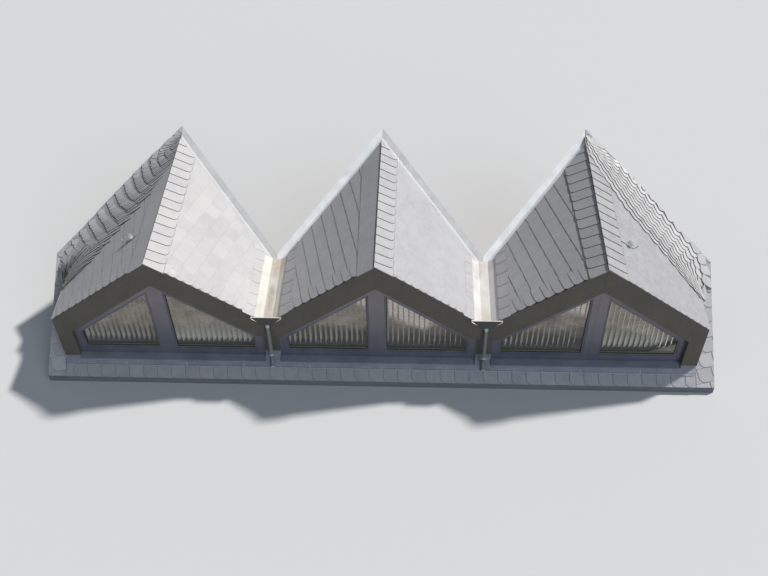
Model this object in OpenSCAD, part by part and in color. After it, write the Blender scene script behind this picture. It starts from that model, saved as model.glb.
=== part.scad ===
// Slated roof dormer with three gables, three pairs of fixed windows, zinc troughs between
// the gables and swept slate valleys at its two ends. It lies on the rafters of a pitched
// roof: the plane through the origin that rises towards +Y is the top of those rafters.
// X runs along the front, the front faces -Y, Z is up.

/* [Gables] */
// Distance between the ridges
gable_spacing = 3000; // [2600:20:3400]
// Pitch of the dormer slopes in degrees
gable_pitch = 36.7; // [33:0.1:40]
// Height of the slates at the ridge above the sole
ridge_z = 1977; // [1800:5:2200]
// Slates beyond the wall at the dormer's ends
eave_out = 19; // [10:1:40]

/* [Main roof] */
// Pitch of the roof that carries the dormer in degrees
roof_pitch = 35.5; // [31:0.1:40]
// Insulation, boards and slates on the rafters, square to the roof
roof_build = 102; // [84:1:120]
// Slates alone, square to the roof
slate_t = 20; // [12:1:30]

/* [Dormer roof] */
// Rafters, insulation and boards of a slope
deck_t = 140; // [100:5:180]
// Slates in front of the band
verge_out = 22; // [5:1:40]
// Width of a ridge beam
ridge_beam_w = 80; // [60:5:120]
// Depth of a ridge beam
ridge_beam_h = 220; // [160:10:280]

/* [Front] */
// Depth of a window frame
frame_t = 80; // [60:2:100]
// Band's face in front of the frames
reveal = 80; // [40:2:120]
// Thickness of the front band
panel_t = 30; // [18:1:40]
// Height of the band at the ridge
band_h = 412; // [360:2:480]
// Half width of the band's foot on a pier
band_foot_half = 178; // [150:1:200]
// Board that lines the window opening
lining_t = 20; // [12:1:30]
// Band's outer face beyond the wall
band_side = 10; // [4:1:16]

/* [Windows] */
// Frame behind the lining at an end post
frame_side_lap = 25; // [10:1:40]
// Frame above the band's lower edge
frame_head_lap = 15; // [5:1:20]
// Face width of a frame without its bead
frame_w = 110; // [80:1:130]
// Face width of a glazing bead
bead_w = 25; // [15:1:35]
// Depth of a glazing bead
bead_t = 15; // [10:1:20]
// Bead behind the frame's face
bead_in = 8; // [3:1:12]
// Frame's lip behind the glass
lip_w = 15; // [8:1:20]
// Mullion between the panes, beads included
mullion_w = 264; // [200:2:320]
// Thickness of the double glazing
glass_t = 24; // [20:1:36]
// Clearance round a pane
glass_gap = 3; // [2:0.5:5]
// Joint between neighbouring pieces
joint = 2; // [1:0.5:5]

/* [Sills] */
// Sheet of a sill
sill_t = 3; // [2:0.5:5]
// Sill's nose in front of the band
sill_out = 30; // [15:1:50]
// Fall of a sill in degrees
sill_fall = 12; // [6:0.5:15]
// Turned down edge of a sill
sill_drip = 18; // [12:1:22]
// Sill under a frame
sill_tail = 45; // [30:1:60]

/* [Timber] */
// Width of the sole beam
sole_w = 110; // [90:2:130]
// Sole beam's front edge above the roof boards
sole_up = 5.5; // [2:0.5:20]
// Width of a pier between two windows
pier_w = 216; // [180:2:260]
// Width of a corner post
corner_w = 183; // [150:1:240]
// Depth of the posts from the frame's face
post_d = 95; // [90:1:120]
// Thickness of a cheek
cheek_t = 100; // [60:5:120]

/* [Zinc] */
// Sheet of troughs and valleys
zinc_t = 2; // [1:0.5:3]
// Clear width of a trough between the slates
trough_w = 348; // [280:2:420]
// Floor of a trough
trough_floor = 130; // [100:2:160]
// Zinc under the slates
zinc_lap = 35; // [20:1:60]
// Zinc of a valley that shows on a slope
valley_show = 70; // [40:5:100]
// Zinc of a valley on the main roof
valley_flange = 85; // [70:5:140]
// Trough's end plate in front of the band
trough_out = 70; // [66:1:90]
// End plate's fold towards the roof
end_plate_fold = 15; // [8:1:25]
// End plate below the trough's floor
end_plate_drop = 12; // [5:1:20]

/* [Downpipes] */
// Outside diameter of a downpipe
pipe_d = 54; // [46:1:60]
// Wall of a downpipe
pipe_wall = 2; // [1:0.5:3]
// Thickness of a bracket's ring
ring_t = 3; // [2:0.5:5]
// Diameter of a bracket's rod
rod_d = 10; // [8:1:14]
// Pipe's clearance to the band
pipe_gap = 9; // [4:1:14]
// Height of a pipe's first bend
shoe_z = 85; // [83:1:110]
// Length of the pipe between its two bends
bend_l = 45; // [30:1:60]
// Length of a shoe
shoe_len = 60; // [50:1:90]
// Height of a pipe bracket
bracket_z = 160; // [120:1:300]
// Height of a bracket's strap
bracket_h = 28; // [20:1:40]

/* [Roof edges] */
// Course of slates in front of the sills, along the roof
front_w = 246; // [200:2:300]
// Apron sheet on that course, along the roof
apron_w = 68; // [50:2:110]
// Thickness of the apron sheet
apron_t = 6; // [4:1:8]
// Apron's turned up edge on a pier
apron_rise = 60; // [40:5:90]
// Roof strip beside a cheek
side_w = 250; // [200:5:320]
// Swept valley on the dormer's slope, in plan
sweep_in = 410; // [340:5:460]
// Swept valley on the main roof, in plan
sweep_out = 195; // [150:5:240]
// Thickness of a swept valley's slates
sweep_t = 12; // [6:1:20]
// Courses across a swept valley
sweep_courses = 15; // [8:1:20]
// Lower edge of a course above the course below
sweep_step = 8; // [3:1:12]

/* [Blinds] */
// Width of a blind's slat
slat_w = 89; // [70:1:127]
// Distance between the slats
slat_step = 74; // [60:1:110]
// Thickness of a slat
slat_t = 1; // [1:0.5:3]
// Slats' turn from the glass in degrees
slat_turn = 55; // [30:1:80]
// Height of a blind's rail
rail_h = 30; // [20:1:40]
// Slats' lower ends above the frame's underside
slat_low = 155; // [120:5:200]

/* [Roof hooks] */
// Width of a hook's strap
hook_w = 30; // [20:1:40]
// Thickness of a hook's strap
hook_t = 6; // [4:1:8]
// Length of a hook's strap
hook_len = 260; // [200:5:320]
// Height of a hook above the slates
hook_h = 90; // [60:1:120]
// Hook's distance from the ridge, in plan
hook_u = 380; // [250:5:600]
// Hook's distance behind the band
hook_y = 750; // [500:10:1000]

/* [Hidden] */
$fn = 48;

far = 2 * gable_spacing;
half = gable_spacing / 2;
tan_g = tan(gable_pitch);
cos_g = cos(gable_pitch);
tan_r = tan(roof_pitch);
cos_r = cos(roof_pitch);

// Heights of the main roof above the rafters, measured plumb
slates_up = roof_build / cos_r;
boards_up = (roof_build - slate_t) / cos_r;

// Half widths of the dormer's end gables at the wall and at the eave, of a window's frame beside a
// pier, and of a window opening beside a corner post
wall_half = half;
end_half = wall_half + eave_out;
frame_half = half - pier_w / 2 - joint;
side_open = wall_half - corner_w - joint - frame_side_lap;

// The front stands with the frame's middle over the origin
frame_y = -frame_t / 2;
front_y = frame_y - reveal;
panel_back = front_y + panel_t;
post_back = frame_y + post_d;

// Heights of the sole beam's top, the frames' underside and the band's lowest edge at the ends
sole_top = boards_up + sole_up - sole_w / 2 * tan_r;
frame_z = sole_top + sill_t;
band_low = frame_z + joint;

// Heights of the dormer's slopes at the ridge line: slates, boards, underside
deck_z = ridge_z - slate_t / cos_g;
under_z = deck_z - deck_t / cos_g;
open_z = deck_z - band_h;
head_z = open_z + frame_head_lap;
foot_z = open_z - tan_g * (half - band_foot_half);
floor_half = trough_floor / 2;
trough_half = trough_w / 2;
floor_z = deck_z - tan_g * (half - floor_half);

// A width square to a valley in plan, measured along Y
plan_k = sqrt(1 + pow(tan_g / tan_r, 2));

function roof_z(y) = y * tan_r;
function slope_z(top, u) = top - tan_g * abs(u);
// Y where a slope of the dormer meets the main roof
function valley_y(top, u, up) = (slope_z(top, u) - up) / tan_r;

gables = [-gable_spacing, 0, gable_spacing];
// Half widths of each window's frame, left and right
function frame_side(g, s) = g * s > 0 ? side_open + frame_side_lap : frame_half;
function is_end(g, s) = g * s > 0;

module above_rafters(up = 0) {
    rotate([roof_pitch, 0, 0]) translate([-far, -far, up * cos_r]) cube([2 * far, 2 * far, far]);
}

// Draws a shape of the front (X, Z) from y0 back to y1
module along_y(y0, y1) {
    translate([0, y1, 0]) rotate([90, 0, 0]) linear_extrude(y1 - y0) children();
}

// Draws a shape of the side (Y, Z) from x0 to x1
module along_x(x0, x1) {
    translate([x0, 0, 0]) rotate([90, 0, 90]) linear_extrude(x1 - x0) children();
}

module sole_beam() color("burlywood") {
    x1 = gable_spacing + side_open + frame_side_lap;
    along_x(-x1, x1) polygon([[-sole_w / 2, roof_z(-sole_w / 2)], [sole_w / 2, roof_z(sole_w / 2)],
        [sole_w / 2, sole_top], [-sole_w / 2, sole_top]]);
}

module corner_posts() color("burlywood") {
    u0 = side_open + frame_side_lap + joint;
    for (s = [-1, 1]) translate([s * gable_spacing, 0, 0]) intersection() {
        along_y(frame_y, post_back) polygon([[s * u0, -far], [s * wall_half, -far],
            [s * wall_half, slope_z(under_z, wall_half)], [s * u0, slope_z(under_z, u0)]]);
        above_rafters();
    }
}

module piers() color([0.23, 0.22, 0.21]) {
    w = pier_w / 2;
    top_w = slope_z(under_z, half - w);
    for (s = [-1, 1]) along_y(frame_y, post_back)
        polygon([[s * half - w, sole_top], [s * half + w, sole_top],
            [s * half + w, top_w], [s * half, slope_z(under_z, half)], [s * half - w, top_w]]);
}

// Sloping beams over the windows that carry the roof's front
module gable_heads() color("burlywood") {
    for (g = [-1, 0, 1]) translate([g * gable_spacing, 0, 0]) {
        l = frame_side(g, -1);
        r = frame_side(g, 1);
        low = head_z + joint;
        along_y(frame_y, post_back) polygon([[-l, slope_z(low, l)], [0, low], [r, slope_z(low, r)],
            [r, slope_z(under_z, r)], [0, under_z], [-l, slope_z(under_z, l)]]);
    }
}

module ridge_beams() color("burlywood") {
    w = ridge_beam_w / 2;
    for (x = gables) translate([x, 0, 0]) intersection() {
        along_y(post_back, far) polygon([[-w, slope_z(under_z, w)], [0, under_z],
            [w, slope_z(under_z, w)], [w, under_z - ridge_beam_h], [-w, under_z - ridge_beam_h]]);
        above_rafters();
    }
}

// Triangular side walls between the rafters and the end eaves
module cheeks() color([0.36, 0.37, 0.40]) {
    for (s = [-1, 1]) translate([s * gable_spacing, 0, 0]) intersection() {
        along_y(post_back, far) polygon([[s * (wall_half - cheek_t), -far], [s * wall_half, -far],
            [s * wall_half, slope_z(under_z, wall_half)],
            [s * (wall_half - cheek_t), slope_z(under_z, wall_half - cheek_t)]]);
        above_rafters();
    }
}

// Outline of one gable's window opening, grown by g; a half is open to a pier or an end post
function open_half(g, s, grow) = is_end(g, s)
    ? [[s * (side_open + grow), slope_z(open_z + grow / cos_g, side_open + grow)],
       [s * (side_open + grow), -far]]
    : [[s * (half - band_foot_half), foot_z + grow / cos_g],
       [s * half, foot_z + grow / cos_g], [s * half, -far]];

module opening(g, grow = 0) {
    r = open_half(g, 1, grow);
    l = open_half(g, -1, grow);
    polygon(concat([[0, open_z + grow / cos_g]], r, [for (i = [len(l) - 1:-1:0]) l[i]]));
}

function band_half(g, s) = is_end(g, s)
    ? [[s * (wall_half + band_side), slope_z(deck_z, wall_half + band_side)],
       [s * (wall_half + band_side), band_low]]
    : [[s * (half - floor_half), floor_z], [s * (half - joint / 2), floor_z],
       [s * (half - joint / 2), band_low]];

module band(g) {
    r = band_half(g, 1);
    l = band_half(g, -1);
    polygon(concat([[0, deck_z]], r, [for (i = [len(l) - 1:-1:0]) l[i]]));
}

// One gable's front band with the boards that line the opening back to the frame; at the dormer's
// ends a board returns to the corner post
module front_panel(g) {
    translate([g * gable_spacing, 0, 0]) {
        along_y(front_y, panel_back) difference() {
            band(g);
            opening(g);
        }
        along_y(panel_back, frame_y) intersection() {
            band(g);
            difference() {
                opening(g, lining_t);
                opening(g);
            }
        }
        if (g != 0) intersection() {
            outer = wall_half + band_side;
            inner = outer - lining_t;
            above_rafters(slates_up + joint);
            along_y(panel_back, frame_y) polygon([[g * inner, 0], [g * outer, 0],
                [g * outer, slope_z(under_z, outer)], [g * inner, slope_z(under_z, outer)]]);
        }
    }
}

module left_front_panel() color([0.25, 0.24, 0.22]) front_panel(-1);
module middle_front_panel() color([0.25, 0.24, 0.22]) front_panel(0);
module right_front_panel() color([0.25, 0.24, 0.22]) front_panel(1);

// Outline of one pane, grown by g from the glass that shows
daylight = frame_w + bead_w;
module pane_outline(g, s, grow) {
    u0 = mullion_w / 2 - grow;
    u1 = frame_side(g, s) - daylight + grow;
    z0 = frame_z + daylight - grow;
    top = head_z - (daylight - grow) / cos_g;
    polygon([[s * u0, z0], [s * u1, z0], [s * u1, slope_z(top, u1)], [s * u0, slope_z(top, u0)]]);
}

module frame_outline(g) {
    l = frame_side(g, -1);
    r = frame_side(g, 1);
    polygon([[-l, frame_z], [r, frame_z], [r, slope_z(head_z, r)], [0, head_z], [-l, slope_z(head_z, l)]]);
}

// Front of the pane; the frame's lip stands behind it
glass_y = frame_y + bead_in + bead_t;
module window_frame(g) {
    translate([g * gable_spacing, 0, 0]) {
        along_y(frame_y, glass_y + glass_t) difference() {
            frame_outline(g);
            for (s = [-1, 1]) pane_outline(g, s, bead_w);
        }
        along_y(glass_y + glass_t, frame_y + frame_t) difference() {
            frame_outline(g);
            for (s = [-1, 1]) pane_outline(g, s, bead_w - lip_w);
        }
    }
}

module left_window_frame() color([0.30, 0.31, 0.37]) window_frame(-1);
module middle_window_frame() color([0.30, 0.31, 0.37]) window_frame(0);
module right_window_frame() color([0.30, 0.31, 0.37]) window_frame(1);

module glazing_beads() color([0.20, 0.21, 0.25]) {
    for (g = [-1, 0, 1], s = [-1, 1]) translate([g * gable_spacing, 0, 0])
        along_y(glass_y - bead_t, glass_y) difference() {
            pane_outline(g, s, bead_w);
            pane_outline(g, s, 0);
        }
}

module panes(g) {
    for (s = [-1, 1]) translate([g * gable_spacing, 0, 0])
        along_y(glass_y, glass_y + glass_t) pane_outline(g, s, bead_w - glass_gap);
}

module left_panes() color([0.5, 0.6, 0.6, 0.4]) panes(-1);
module middle_panes() color([0.5, 0.6, 0.6, 0.4]) panes(0);
module right_panes() color([0.5, 0.6, 0.6, 0.4]) panes(1);

// Bent sheet under a window: a flat tail under the frame, a sloping top and a drip
nose_y = front_y - sill_out;
function sill_side(g, s) = is_end(g, s) ? side_open - joint : frame_half;
module sill(g) {
    bend = -sole_w / 2;
    low = frame_z + (nose_y - bend) * tan(sill_fall);
    translate([g * gable_spacing, 0, 0]) along_x(-sill_side(g, -1), sill_side(g, 1))
        polygon([[bend + sill_tail, frame_z], [bend, frame_z], [nose_y, low], [nose_y, low - sill_drip],
            [nose_y + sill_t, low - sill_drip], [nose_y + sill_t, low - sill_t],
            [bend, frame_z - sill_t], [bend + sill_tail, frame_z - sill_t]]);
}

module left_sill() color([0.33, 0.34, 0.44]) sill(-1);
module middle_sill() color([0.33, 0.34, 0.44]) sill(0);
module right_sill() color([0.33, 0.34, 0.44]) sill(1);

// Plan of a slope's side of the valley, u from the ridge outwards
module valley_plan(s, top, up, back = 0) {
    u1 = 2 * half;
    linear_extrude(far) polygon([[0, -far], [s * u1, -far], [s * u1, valley_y(top, u1, up) - back],
        [0, valley_y(top, 0, up) - back]]);
}

module deck(g, s) {
    edge = is_end(g, s) ? [[s * wall_half, slope_z(deck_z, wall_half)]]
        : [[s * (half - floor_half), floor_z], [s * half, floor_z]];
    last = is_end(g, s) ? wall_half : half;
    translate([g * gable_spacing, 0, 0]) intersection() {
        along_y(panel_back, far) polygon(concat([[0, deck_z]], edge,
            [[s * last, slope_z(under_z, last)], [0, under_z]]));
        above_rafters();
        valley_plan(s, deck_z, boards_up);
    }
}

module left_outer_deck() color("tan") deck(-1, -1);
module left_inner_deck() color("tan") deck(-1, 1);
module middle_left_deck() color("tan") deck(0, -1);
module middle_right_deck() color("tan") deck(0, 1);
module right_inner_deck() color("tan") deck(1, -1);
module right_outer_deck() color("tan") deck(1, 1);

// Slates of one slope; beside a zinc valley they stop short of it
module slates(g, s) {
    last = is_end(g, s) ? end_half : half - trough_half;
    back = is_end(g, s) ? 0 : valley_show * plan_k;
    difference() {
        translate([g * gable_spacing, 0, 0]) intersection() {
            along_y(front_y - verge_out, far) polygon([[0, ridge_z], [s * last, slope_z(ridge_z, last)],
                [s * last, slope_z(deck_z, last)], [0, deck_z]]);
            above_rafters(boards_up);
            valley_plan(s, deck_z, boards_up, back);
        }
        if (!is_end(g, s)) {
            valley_sheet(g, s);
            trough_channel(2 * g + s);
        }
    }
}

module left_outer_slates() color([0.55, 0.56, 0.58]) slates(-1, -1);
module left_inner_slates() color([0.75, 0.74, 0.72]) slates(-1, 1);
module middle_left_slates() color([0.55, 0.56, 0.58]) slates(0, -1);
module middle_right_slates() color([0.75, 0.74, 0.72]) slates(0, 1);
module right_inner_slates() color([0.55, 0.56, 0.58]) slates(1, -1);
module right_outer_slates() color([0.75, 0.74, 0.72]) slates(1, 1);

// Strip of the main roof's build-up between two heights above the rafters
module roof_strip(low, high) {
    intersection() {
        children();
        rotate([roof_pitch, 0, 0]) translate([-far, -far, low * cos_r])
            cube([2 * far, 2 * far, (high - low) * cos_r]);
    }
}

// Plan beyond a slope's valley line, w wide square to it
module valley_strip(s, u0, u1, w) {
    dy = w * plan_k;
    translate([0, 0, -far]) linear_extrude(2 * far)
        polygon([[s * u0, valley_y(deck_z, u0, boards_up)], [s * u1, valley_y(deck_z, u1, boards_up)],
            [s * u1, valley_y(deck_z, u1, boards_up) + dy], [s * u0, valley_y(deck_z, u0, boards_up) + dy]]);
}

// Main roof's build-up under the zinc valleys and under the course in front of the sills
module edge_boards() color("tan") {
    for (g = [-1, 0, 1], s = [-1, 1]) if (!is_end(g, s)) translate([g * gable_spacing, 0, 0])
        roof_strip(0, boards_up) valley_strip(s, 0, half, valley_flange);
    front_strip(-sole_w / 2, 0, boards_up);
}

// Main roof's build-up beside a cheek and under a swept valley, between two heights
module side_strip(s, low, high) {
    inner = wall_half;
    outer = wall_half + band_side + side_w;
    translate([s * gable_spacing, 0, 0]) roof_strip(low, high) translate([0, 0, -far])
        linear_extrude(2 * far) polygon([[s * inner, front_foot], [s * outer, front_foot],
            [s * outer, valley_y(deck_z, outer, boards_up) + side_w * plan_k],
            [0, valley_y(deck_z, 0, boards_up) + valley_flange * plan_k],
            [0, valley_y(deck_z, 0, boards_up)], [s * inner, valley_y(deck_z, inner, boards_up)]]);
}

module side_boards() color([0.45, 0.46, 0.50]) {
    side_strip(-1, 0, boards_up);
    side_strip(1, 0, boards_up);
}

module side_slates() color([0.60, 0.60, 0.62]) {
    side_strip(-1, boards_up, slates_up);
    side_strip(1, boards_up, slates_up);
}

// Main roof's build-up in front of the sills back to y1, between two heights
sill_back = nose_y + sill_t + joint;
front_foot = sill_back - front_w * cos_r;
module front_strip(y1, low, high) {
    x1 = gable_spacing + wall_half;
    along_x(-x1, x1) polygon([[front_foot, roof_z(front_foot) + low], [y1, roof_z(y1) + low],
        [y1, roof_z(y1) + high], [front_foot, roof_z(front_foot) + high]]);
}

module front_slates() color([0.42, 0.44, 0.50]) front_strip(sill_back + apron_t, boards_up, slates_up);

// Apron below the sills: a sheet on the slates, turned up behind the sills' drips and on the piers,
// and run on under the band at the ends
module apron_part(x0, x1, back, top) {
    foot = sill_back - apron_w * cos_r;
    over = slates_up + apron_t / cos_r;
    along_x(x0, x1) polygon([[foot, roof_z(foot) + slates_up], [back, roof_z(back) + slates_up],
        [back, top], [back - apron_t, top], [back - apron_t, roof_z(back - apron_t) + over],
        [foot, roof_z(foot) + over]]);
}

module front_apron() color([0.42, 0.44, 0.50]) {
    end = gable_spacing + wall_half;
    post = gable_spacing + side_open;
    pier = half - frame_half;
    under_sill = sole_top + (sill_back + sole_w / 2) * tan(sill_fall);
    apron_part(pier - half, half - pier, sill_back + apron_t, under_sill);
    for (s = [0, 1]) mirror([s, 0, 0]) {
        apron_part(half - pier, half + pier, frame_y, roof_z(frame_y) + slates_up + apron_rise);
        apron_part(half + pier, post, sill_back + apron_t, under_sill);
        apron_part(post, end, panel_back + apron_t, band_low + lining_t);
    }
}

// Zinc on both planes of a valley, under the slates' edge and out onto the main roof
module valley_sheet(g, s) {
    lap = (valley_show + zinc_lap) * plan_k;
    u1 = half - floor_half;
    u0 = u1 - lap * tan_r / tan_g;
    top = valley_y(deck_z, 0, boards_up);
    translate([g * gable_spacing, 0, 0]) {
        intersection() {
            along_y(-far, far) polygon([[0, deck_z], [s * u1, slope_z(deck_z, u1)],
                [s * u1, slope_z(deck_z, u1) + zinc_t / cos_g], [0, deck_z + zinc_t / cos_g]]);
            linear_extrude(far) polygon([[0, top], [s * u1, valley_y(deck_z, u1, boards_up)],
                [s * u1, trough_back], [s * u0, trough_back], [0, top - lap]]);
        }
        roof_strip(boards_up, boards_up + zinc_t / cos_r) valley_strip(s, 0, half, valley_flange);
    }
}

module valley_sheets() color([0.82, 0.83, 0.82]) {
    valley_sheet(-1, 1);
    valley_sheet(0, -1);
    valley_sheet(0, 1);
    valley_sheet(1, -1);
}

// Folded trough between two gables
plate_y = front_y - trough_out;
plate_half = trough_half + zinc_lap;
trough_back = valley_y(deck_z, half - floor_half, boards_up + zinc_t / cos_r);
module trough_channel(s) {
    lap_z = slope_z(deck_z, half - plate_half);
    translate([s * half, 0, 0]) along_y(plate_y, trough_back) polygon([[-plate_half, lap_z],
        [-floor_half, floor_z], [floor_half, floor_z], [plate_half, lap_z],
        [plate_half, lap_z + zinc_t / cos_g], [floor_half, floor_z + zinc_t],
        [-floor_half, floor_z + zinc_t], [-plate_half, lap_z + zinc_t / cos_g]]);
}

// The end plate closes the trough's front and folds back along its top; the floor has the outlet
module trough(s) {
    w = plate_half;
    top = slope_z(ridge_z, half - w);
    difference() {
        trough_channel(s);
        translate([s * half, pipe_y, 0]) cylinder(h = far, d = pipe_d - 2 * pipe_wall);
    }
    translate([s * half, 0, 0]) {
        along_y(plate_y - zinc_t, plate_y) polygon([[-w, top], [w, top],
            [floor_half, floor_z - end_plate_drop], [-floor_half, floor_z - end_plate_drop]]);
        translate([-w, plate_y - zinc_t, top]) cube([2 * w, end_plate_fold, zinc_t]);
    }
}

module left_trough() color([0.85, 0.84, 0.80]) trough(-1);
module right_trough() color([0.85, 0.84, 0.80]) trough(1);

// Swept valley: a shell of slates that rounds off the valley between an end slope and the main
// roof, and drops beside the cheek at its lower end. Courses run across it from q = 0 at the lower
// end to q = 1 at the ridge; each lies lifted on the one below it and ends under the one above, and
// away from the valley's ends it is turned square to the valley. d is how far the dormer's slope
// lies above the main roof.
sweep_cols = 12;
// Share of a course between its upper end and the next course's lower edge
sweep_gap = 0.06;
// Share of the width on the slope at which the lower end starts
sweep_start = 0.93;
eave_u = end_half + joint;
eave_z = slope_z(ridge_z, eave_u);
rise_k = sqrt(pow(tan_g, 2) + pow(tan_r, 2));
sweep_low = (eave_z - sweep_start * sweep_in * rise_k - slates_up) / tan_r;
sweep_high = valley_y(ridge_z, 0, slates_up + sweep_t);
// Shares of the widths on the slope and on the main roof, the fall beyond the eave, and the share
// of the length by which a course is turned
function sweep_inner(q) = sweep_in * rise_k * lookup(q, [[0.15, 1], [0.46, 1.15], [0.8, 0.7], [1, 0.3]]);
function sweep_outer(q) = sweep_out * rise_k * lookup(q, [[0, 0.2], [0.22, 0.45], [0.35, 1], [0.85, 1],
    [1, 0.1]]);
function sweep_fall(q) = lookup(q, [[0, 7], [0.06, 5], [0.12, 2], [0.18, 1], [0.22, tan_g]]);
function sweep_turn(q) = lookup(q, [[0, 0], [0.3, 0.08], [0.8, 0.08], [1, 0]]);

function sweep_point(row, side) = let (
        q = row + sweep_turn(row) * (side - 1),
        y = sweep_low + q * (sweep_high - sweep_low),
        top = roof_z(y) + slates_up,
        wi = sweep_inner(q),
        wo = sweep_outer(q),
        first = min(wi, ridge_z - top),
        split = max(eave_z - top, -wo / 2),
        d = side <= 1 ? first + (split - first) * side : split - (wo + split) * (side - 1),
        v = (wo + d) / (wo + sqrt(pow(wo, 2) + (wi - wo) * (wo + d))),
        u = top + d >= eave_z ? (ridge_z - top - d) / tan_g : eave_u + (eave_z - top - d) / sweep_fall(q))
    [u, y, top + wi * pow(v, 2)];

module swept_valley(s) {
    // Each course has two rows: its lifted lower edge and its upper end
    rows = [for (c = [0:sweep_courses - 1]) each [[c, sweep_step],
        [c + (c == sweep_courses - 1 ? 1 : 1 - sweep_gap), 0]]];
    low = [for (r = rows, j = [0:sweep_cols]) let (
        p = sweep_point(r[0] / sweep_courses, j * 2 / sweep_cols)) [s * p[0], p[1], p[2]]];
    w = sweep_cols + 1;
    last = len(rows) - 1;
    top = [for (i = [0:len(low) - 1]) low[i] + [0, 0, sweep_t + rows[floor(i / w)][1]]];
    n = len(low);
    quads = [for (i = [0:last - 1], j = [0:sweep_cols - 1]) let (a = i * w + j)
        [a, a + 1, a + w + 1, a + w]];
    rim = concat([for (j = [0:sweep_cols - 1]) j], [for (i = [0:last - 1]) i * w + sweep_cols],
        [for (j = [sweep_cols:-1:1]) last * w + j], [for (i = [last:-1:1]) i * w]);
    sides = [for (k = [0:len(rim) - 1]) let (a = rim[k], b = rim[(k + 1) % len(rim)])
        [b, a, a + n, b + n]];
    under = [for (q = quads) [q[3] + n, q[2] + n, q[1] + n, q[0] + n]];
    faces = [for (q = concat(quads, under, sides)) s > 0 ? [q[3], q[2], q[1], q[0]] : q];
    translate([s * gable_spacing, 0, 0]) polyhedron(concat(top, low), faces);
}

module left_swept_valley() color([0.50, 0.51, 0.54]) swept_valley(-1);
module right_swept_valley() color([0.78, 0.76, 0.74]) swept_valley(1);

// Downpipes run from the trough's floor to a shoe above the apron
pipe_y = front_y - pipe_gap - pipe_d / 2;
// Leg of a pipe along Z from the origin, mitred at its start and its end
module pipe_leg(h, start, end) {
    d = pipe_d;
    difference() {
        translate([0, 0, -d]) cylinder(h = h + 2 * d, d = d);
        translate([0, 0, -2 * d]) cylinder(h = h + 4 * d, d = d - 2 * pipe_wall);
        rotate([start, 0, 0]) translate([-d, -d, -3 * d]) cube([2 * d, 2 * d, 3 * d]);
        translate([0, 0, h]) rotate([end, 0, 0]) translate([-d, -d, 0]) cube([2 * d, 2 * d, 3 * d]);
    }
}

// Bent twice until it runs along the roof
module downpipes() color([0.55, 0.57, 0.58]) {
    turn = (90 - roof_pitch) / 2;
    for (s = [-1, 1]) translate([s * half, pipe_y, 0]) {
        translate([0, 0, floor_z]) rotate([180, 0, 0]) pipe_leg(floor_z - shoe_z, 0, -turn / 2);
        translate([0, 0, shoe_z]) rotate([180 - turn, 0, 0]) {
            pipe_leg(bend_l, turn / 2, -turn / 2);
            translate([0, 0, bend_l]) rotate([-turn, 0, 0]) pipe_leg(shoe_len, turn / 2, 0);
        }
    }
}

module pipe_brackets() color([0.50, 0.52, 0.53]) {
    ring = pipe_d / 2 + ring_t;
    for (s = [-1, 1]) translate([s * half, 0, bracket_z]) {
        translate([0, pipe_y, 0]) difference() {
            cylinder(h = bracket_h, r = ring);
            translate([0, 0, -ring_t]) cylinder(h = bracket_h + 2 * ring_t, d = pipe_d);
        }
        translate([0, pipe_y + ring - ring_t / 2, bracket_h / 2]) rotate([-90, 0, 0])
            cylinder(h = frame_y - pipe_y - ring + ring_t / 2, d = rod_d);
    }
}

// Strap on the slates with a hook turned up at its lower end
module roof_hooks() color([0.80, 0.82, 0.84]) {
    for (s = [-1, 1]) translate([s * (gable_spacing + hook_u), front_y + hook_y, slope_z(ridge_z, hook_u)])
        rotate([0, s * gable_pitch, 0]) {
            translate([-hook_len / 2, -hook_w / 2, 0]) cube([hook_len, hook_w, hook_t]);
            translate([s * hook_len / 2 - hook_t / 2, -hook_w / 2, 0]) cube([hook_t, hook_w, hook_h]);
        }
}

// Vertical blinds: a sloping rail behind each pane with turned slats that hang from it
module blinds() color([0.80, 0.78, 0.72]) {
    low = frame_z + slat_low;
    depth = slat_w * sin(slat_turn) + 2 * joint;
    for (g = [-1, 0, 1], s = [-1, 1]) translate([g * gable_spacing, 0, 0]) {
        u0 = mullion_w / 2 - bead_w;
        u1 = frame_side(g, s) - frame_w;
        rail = head_z + joint;
        along_y(post_back, post_back + depth) polygon([[s * u0, slope_z(rail, u0)],
            [s * u1, slope_z(rail, u1)], [s * u1, slope_z(rail + rail_h, u1)],
            [s * u0, slope_z(rail + rail_h, u0)]]);
        for (u = [u0 + slat_step / 2:slat_step:u1 - slat_step / 4])
            translate([s * u, post_back + depth / 2, low]) rotate([0, 0, slat_turn])
                translate([-slat_w / 2, -slat_t / 2, 0])
                    cube([slat_w, slat_t, slope_z(rail + rail_h / 2, u) - low]);
    }
}

sole_beam();
corner_posts();
piers();
gable_heads();
ridge_beams();
cheeks();
left_front_panel();
middle_front_panel();
right_front_panel();
left_window_frame();
middle_window_frame();
right_window_frame();
glazing_beads();
left_panes();
middle_panes();
right_panes();
left_sill();
middle_sill();
right_sill();
left_outer_deck();
left_inner_deck();
middle_left_deck();
middle_right_deck();
right_inner_deck();
right_outer_deck();
left_outer_slates();
left_inner_slates();
middle_left_slates();
middle_right_slates();
right_inner_slates();
right_outer_slates();
edge_boards();
side_boards();
side_slates();
front_slates();
front_apron();
valley_sheets();
left_trough();
right_trough();
left_swept_valley();
right_swept_valley();
downpipes();
pipe_brackets();
roof_hooks();
blinds();
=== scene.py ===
import math
import random

import bmesh
import bpy
from mathutils import Matrix, Vector


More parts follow.
